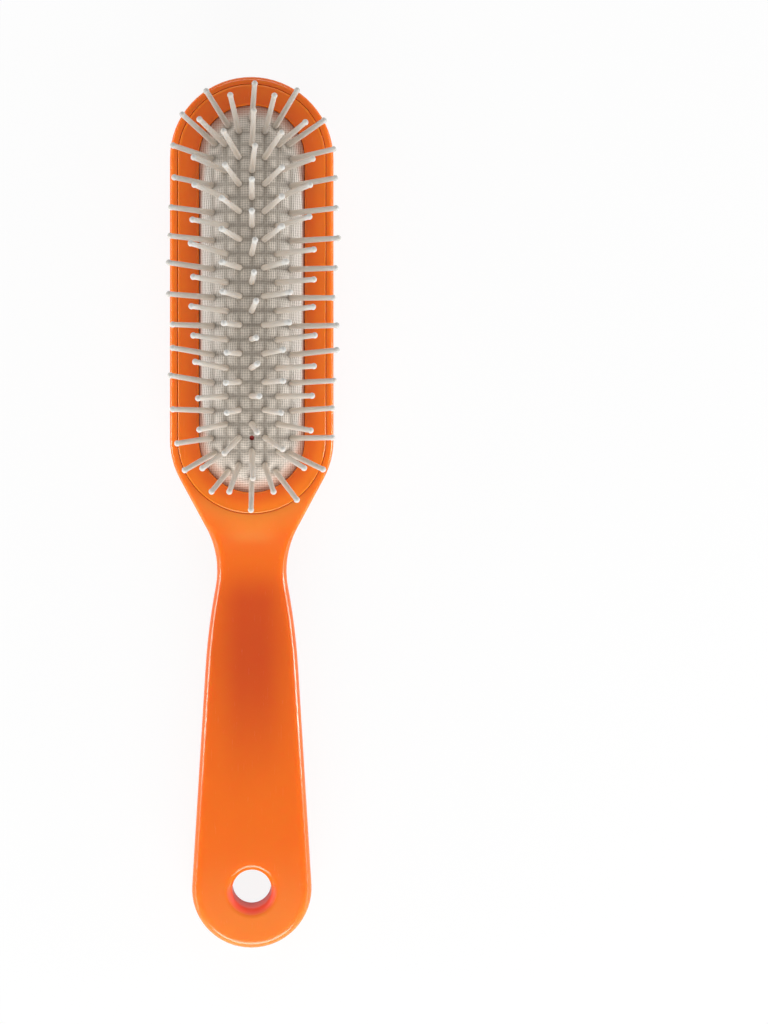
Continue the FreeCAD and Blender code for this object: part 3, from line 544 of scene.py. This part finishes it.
def creases(dome, roots):
    """Cloth drawn down at the pins and along the lines that join neighbours of a row or column.

    Gives the depth, 0 to 1, and the narrower line of painted shade at its bottom, 0 to 1.
    """
    rng = np.random.default_rng(CREASE_SEED)
    deep, line = np.zeros_like(dome.x), np.zeros_like(dome.x)
    for px, py in roots:
        off = dome.squared_distance(px, py)
        deep = np.maximum(deep, nearness(off, DIMPLE_WIDTH))
        line = np.maximum(line, nearness(off, DIMPLE_SHADE))
    for (ax, ay), (bx, by) in combinations(roots, 2):
        dx, dy = bx - ax, by - ay
        in_row = abs(dy) < OFF_LINE and STEP_ACROSS[0] < abs(dx) < STEP_ACROSS[1]
        in_column = abs(dx) < OFF_LINE and STEP_ALONG[0] < abs(dy) < STEP_ALONG[1]
        if not (in_row or in_column):
            continue
        towards_end = abs(ay + by) / 2 / SOLID_REACH
        strength = rng.uniform(*CREASE_STRENGTHS)
        if in_row:
            strength *= 1 - ROW_FADE_SHARE * towards_end
        else:
            strength *= COLUMN_START_SHARE + COLUMN_GAIN_SHARE * towards_end
        way = np.clip(((dome.x - ax) * dx + (dome.y - ay) * dy) / (dx * dx + dy * dy), 0, 1)
        off = dome.squared_distance(ax + way * dx, ay + way * dy)
        pull = MIDWAY_DEPTH_SHARE + (1 - MIDWAY_DEPTH_SHARE) * np.abs(2 * way - 1) ** MIDWAY_POWER
        deep = np.maximum(deep, strength * pull * nearness(off, CREASE_WIDTH))
        line = np.maximum(line, strength * nearness(off, CREASE_SHADE))
    return deep, line


def grid_faces(left_out=()):
    """Squares of the pad's grid, apart from the left out cells."""
    faces = []
    for i in range(STATIONS - 1):
        for j in range(COLUMNS - 1):
            if (i, j) not in left_out:
                first = i * COLUMNS + j
                faces.append((first, first + 1, first + COLUMNS + 1, first + COLUMNS))
    return faces


def grid_edge():
    """Grid points once round the pad's edge."""
    left = [i * COLUMNS for i in range(STATIONS)]
    tip = [(STATIONS - 1) * COLUMNS + j for j in range(1, COLUMNS)]
    right = [i * COLUMNS + COLUMNS - 1 for i in range(STATIONS - 2, -1, -1)]
    handle_end = list(range(COLUMNS - 2, 0, -1))
    return left + tip + right + handle_end


def square_walk(block):
    """Grid steps once round a square of cells."""
    side = range(-block, block)
    return ([(-block, j) for j in side] + [(i, block) for i in side]
            + [(block, -j) for j in side] + [(-i, -block) for i in side])


def blow_up(points, held):
    """Cloth simulation: air presses the cloth out between the pins and the edge that hold it.

    It runs on an enlarged copy, at a size that suits the solver's usual settings.
    """
    scene = bpy.context.scene
    mesh = bpy.data.meshes.new("cloth_to_press")
    mesh.from_pydata((points.reshape(-1, 3) * MM * SOLVER_SCALE).tolist(), [], grid_faces())
    cloth = bpy.data.objects.new("cloth_to_press", mesh)
    scene.collection.objects.link(cloth)
    cloth.vertex_groups.new(name="held").add(np.flatnonzero(held).tolist(), 1.0, "REPLACE")
    press = cloth.modifiers.new("press", "CLOTH")
    settings = press.settings
    settings.quality = SOLVER_QUALITY
    settings.vertex_group_mass = "held"
    settings.use_pressure = True
    settings.uniform_pressure_force = SOLVER_PRESSURE
    settings.effector_weights.gravity = 0.0
    press.collision_settings.use_collision = False
    press.point_cache.frame_end = SOLVER_FRAMES
    for number in range(1, SOLVER_FRAMES + 1):
        scene.frame_set(number)
    pressed = cloth.evaluated_get(bpy.context.evaluated_depsgraph_get()).to_mesh()
    spots = np.empty(len(pressed.vertices) * 3)
    pressed.vertices.foreach_get("co", spots)
    scene.frame_set(1)
    bpy.data.objects.remove(cloth)
    bpy.data.meshes.remove(mesh)
    return spots.reshape(points.shape) / (MM * SOLVER_SCALE)


def shape_cloth(dome):
    """The cloth as air and pins shape it: its grid points, and the lines of painted shade in its creases, 0 to 1.
    """
    roots = pin_roots()
    deep, line = creases(dome, roots)
    held = dome.edge < HELD_EDGE
    for px, py in roots:
        held |= dome.squared_distance(px, py) < HELD_AT_PIN ** 2
    inside = np.clip(dome.edge / EDGE_EASE, 0, 1)
    start = dome.points - dome.facing * (START_DEPTH * inside)[..., None]
    swell = ((blow_up(start, held) - start) * dome.facing).sum(axis=-1)
    swell = np.clip(swell, 0.0, MOST_SWELL)
    return start + dome.facing * (swell - CREASE_DEPTH * deep * inside)[..., None], line


def open_vent(dome, points):
    """Moves the border of a block of cells to a round hole. Gives the hole's points and the cells."""
    station = int(np.argmin(np.abs(dome.stations - row_place(VENT_ROW))))
    middle = COLUMNS // 2
    hole = []
    for i, j in square_walk(VENT_BLOCK):
        turn = math.atan2(i, j)
        spot = points[station + i, middle + j]
        spot[0] = VENT_RADIUS * math.cos(turn)
        spot[1] = dome.stations[station] + VENT_RADIUS * math.sin(turn)
        hole.append((station + i) * COLUMNS + middle + j)
    side = range(-VENT_BLOCK, VENT_BLOCK)
    return hole, {(station + i, middle + j) for i in side for j in side}


def down_the_vent(x, y, z):
    return x, y, z - VENT_DEPTH


def outward(reach, height):
    """A move of a point, square to the pad's middle line, to a distance from that line and a height."""
    def move(x, y, _):
        spine = max(-PAD_SPINE, min(PAD_SPINE, y))
        share = reach / math.hypot(x, y - spine)
        return x * share, spine + (y - spine) * share, height
    return move


class Skin:
    """The pad's mesh as it grows: points with the marks that the cloth's finish reads, and faces."""

    CLOTH, RUBBER = 0, 1
    SHADE_MARKS = ("crease", "edge", "side_tilt", "end_tilt")

    def __init__(self, points, marks, open_cells):
        self.points = [tuple(point) for point in points.reshape(-1, 3)]
        self.marks = np.stack([mark.ravel() for mark in marks], axis=-1).tolist()
        self.faces = grid_faces(open_cells)
        self.finishes = [self.CLOTH] * len(self.faces)

    def add_face(self, corners, finish):
        self.faces.append(tuple(corners))
        self.finishes.append(finish)

    def add_band(self, ring, move, finish):
        """A band of faces from a ring of points to a moved copy of it, which it gives."""
        first = len(self.points)
        self.points += [move(*self.points[n]) for n in ring]
        self.marks += [self.marks[n] for n in ring]
        copy = list(range(first, len(self.points)))
        for k in range(len(ring)):
            n = (k + 1) % len(ring)
            self.add_face((ring[k], ring[n], copy[n], copy[k]), finish)
        return copy

    def mesh(self, name):
        """The mesh on the brush's axes: shade marks are attributes, and thread lengths are a UV map."""
        mesh = bpy.data.meshes.new(name)
        spots = [(x * MM, (y + PAD_Y) * MM, (z + PAD_Z) * MM) for x, y, z in self.points]
        mesh.from_pydata(spots, [], self.faces)
        marks = np.array(self.marks, dtype=np.float32)
        for k, mark in enumerate(self.SHADE_MARKS):
            mesh.attributes.new(mark, "FLOAT", "POINT").data.foreach_set("value", marks[:, k].copy())
        threads = marks[:, len(self.SHADE_MARKS):]
        loops = np.empty(len(mesh.loops), dtype=np.int32)
        mesh.loops.foreach_get("vertex_index", loops)
        mesh.uv_layers.new(name="threads").data.foreach_set("uv", threads[loops].ravel())
        mesh.polygons.foreach_set("use_smooth", [True] * len(self.faces))
        mesh.materials.append(woven_cloth("cloth_weave"))
        mesh.materials.append(red_rubber("cushion_rubber"))
        mesh.polygons.foreach_set("material_index", self.finishes)
        mesh.update()
        return mesh


def build_cushion():
    """Pad of cloth over rubber: pressed out between its pins, with a vent and a flange under the ring."""
    dome = Dome()
    points, line = shape_cloth(dome)
    hole, open_cells = open_vent(dome, points)
    # Width of the cloth's painted edge reflection and shade
    painted_edge_width = np.interp(np.abs(dome.y), PAINTED_EDGE_WIDENS, PAINTED_EDGE_WIDTHS)
    side_tilt, end_tilt = np.abs(dome.facing[..., 0]), np.abs(dome.facing[..., 1])
    marks = (line, dome.edge / painted_edge_width, side_tilt, end_tilt, dome.across, dome.along)
    skin = Skin(points, marks, open_cells)
    skin.add_face(skin.add_band(hole, down_the_vent, Skin.RUBBER), Skin.RUBBER)
    ring = skin.add_band(grid_edge(), outward(PAD_RADIUS, TUCK_Z), Skin.CLOTH)
    ring = skin.add_band(ring, outward(FLANGE_RADIUS, TUCK_Z), Skin.RUBBER)
    ring = skin.add_band(ring, outward(FLANGE_RADIUS, FLANGE_Z), Skin.RUBBER)
    skin.add_face(ring, Skin.RUBBER)
    pad = bpy.data.objects.new("cushion_pad", skin.mesh("cushion_pad"))
    bpy.context.scene.collection.objects.link(pad)
    return pad


def dress_solids():
    """Finishes on the solids that keep their shape."""
    shell, ring, pins = handle_orange("handle_orange"), ring_orange("ring_orange"), pin_nylon("pin_nylon")
    for name, node in frame["nodes"].items():
        node.data.materials.clear()
        if name.startswith("pins_"):
            node.data.materials.append(pins)
        elif name == "cushion_ring":
            node.data.materials.append(ring)
        else:
            node.data.materials.append(shell)


def build_floor():
    """White paper that keeps a faint shadow by the brush and, for the camera, is plain white further off."""
    finish = Finish("floor_white")
    place = finish.place()
    paper = finish.noise(place, scale=0.02)
    finish.give({
        "Base Color": finish.blend(paper, colour(0.84, 0.84, 0.84), colour(0.88, 0.88, 0.88)),
        "Roughness": 0.9,
    })
    lit = Wire(finish, finish.shader.outputs[0])
    glow = finish.node("ShaderNodeEmission", {}, {"Color": colour(1, 1, 1), "Strength": 1.0})
    x, y, _ = finish.split(place)
    further_off = ((x * x + y * y) ** 0.5).ramp(*FLOOR_ALL_WHITE)
    white = finish.backdrop_rays() * (FLOOR_WHITE_SHARE + further_off * (1 - FLOOR_WHITE_SHARE))
    surface = finish.node("ShaderNodeMixShader", {}, {0: white, 1: lit, 2: glow})
    finish.feed(finish.tree.nodes["Material Output"].inputs["Surface"], surface)
    mesh = bpy.data.meshes.new("floor")
    corners = [(x * FLOOR_HALF_M, y * FLOOR_HALF_M, 0) for x, y in ((-1, -1), (1, -1), (1, 1), (-1, 1))]
    mesh.from_pydata(corners, [], [(0, 1, 2, 3)])
    mesh.materials.append(finish.material)
    floor = bpy.data.objects.new("floor", mesh)
    bpy.context.scene.collection.objects.link(floor)
    floor.location.z = FLOOR_Z_M


def add_softbox(name, at_m, towards_m, width_m, height_m, radiance):
    """A rectangular lamp of even brightness."""
    lamp = bpy.data.lights.new(name, "AREA")
    lamp.shape = "RECTANGLE"
    lamp.size, lamp.size_y = width_m, height_m
    lamp.energy = radiance * math.pi * width_m * height_m
    box = bpy.data.objects.new(name, lamp)
    box.location = at_m
    box.rotation_mode = "QUATERNION"
    box.rotation_quaternion = (Vector(towards_m) - Vector(at_m)).to_track_quat("-Z", "Y")
    bpy.context.scene.collection.objects.link(box)


def light_scene():
    """Soft light, mostly from the handle's end, with strips that draw the bright lines along the edges."""
    scene = bpy.context.scene
    scene.view_settings.view_transform = "Standard"
    world = bpy.data.worlds.new("studio")
    world.use_nodes = True
    scene.world = world
    bench = Bench(world.node_tree)
    sky = world.node_tree.nodes["Background"]
    camera_ray = bench.node("ShaderNodeLightPath", output="Is Camera Ray")
    bench.feed(sky.inputs["Strength"], SKY_STRENGTH + camera_ray * (1 - SKY_STRENGTH))
    bench.feed(sky.inputs["Color"], colour(1, 1, 1))
    add_softbox("key_from_handle_end", at_m=(0.0, -0.75, 0.30), towards_m=(0, 0, 0),
                width_m=0.90, height_m=0.30, radiance=9.5)
    add_softbox("fill_from_head_end", at_m=(0.0, 0.64, 0.45), towards_m=(0, -0.05, 0),
                width_m=0.45, height_m=0.24, radiance=4.0)
    add_softbox("small_overhead", at_m=(0.0, -0.33, 0.74), towards_m=(0, -0.02, 0),
                width_m=0.07, height_m=0.11, radiance=0.6)
    for name, side, grip_radiance in (("left", -1, 13.0), ("right", 1, 20.0)):
        add_softbox("strip_" + name, at_m=(side * 0.52, -0.03, 0.08), towards_m=(0, -0.03, 0.01),
                    width_m=0.8, height_m=0.09, radiance=4.5)
        add_softbox("grip_strip_" + name, at_m=(side * 0.50, -0.018, 0.08), towards_m=(0, -0.018, 0.01),
                    width_m=0.13, height_m=0.11, radiance=grip_radiance)


def set_camera():
    """Straight above the brush, turned a little to the right so that the brush stands left of the middle."""
    data = bpy.data.cameras.new("camera")
    data.sensor_width = SENSOR
    data.lens = SENSOR * FOCAL_PIXELS / IMAGE_HEIGHT_PIXELS
    camera = bpy.data.objects.new("camera", data)
    camera.location = CAMERA_AT_M
    camera.rotation_euler = (0.0, math.radians(CAMERA_TURN_DEGREES), 0.0)
    bpy.context.scene.collection.objects.link(camera)
    bpy.context.scene.camera = camera


dress_solids()
cushion = build_cushion()
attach(cushion, "handle")
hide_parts("cloth_facing", "rubber_membrane")
PAD_Y * MM
LEDGE_Z * MM
1 - PRESS_DEPTH / (PAD_Z + PAD_TOP - LEDGE_Z)
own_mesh(cushion)
build_floor()
light_scene()
set_camera()
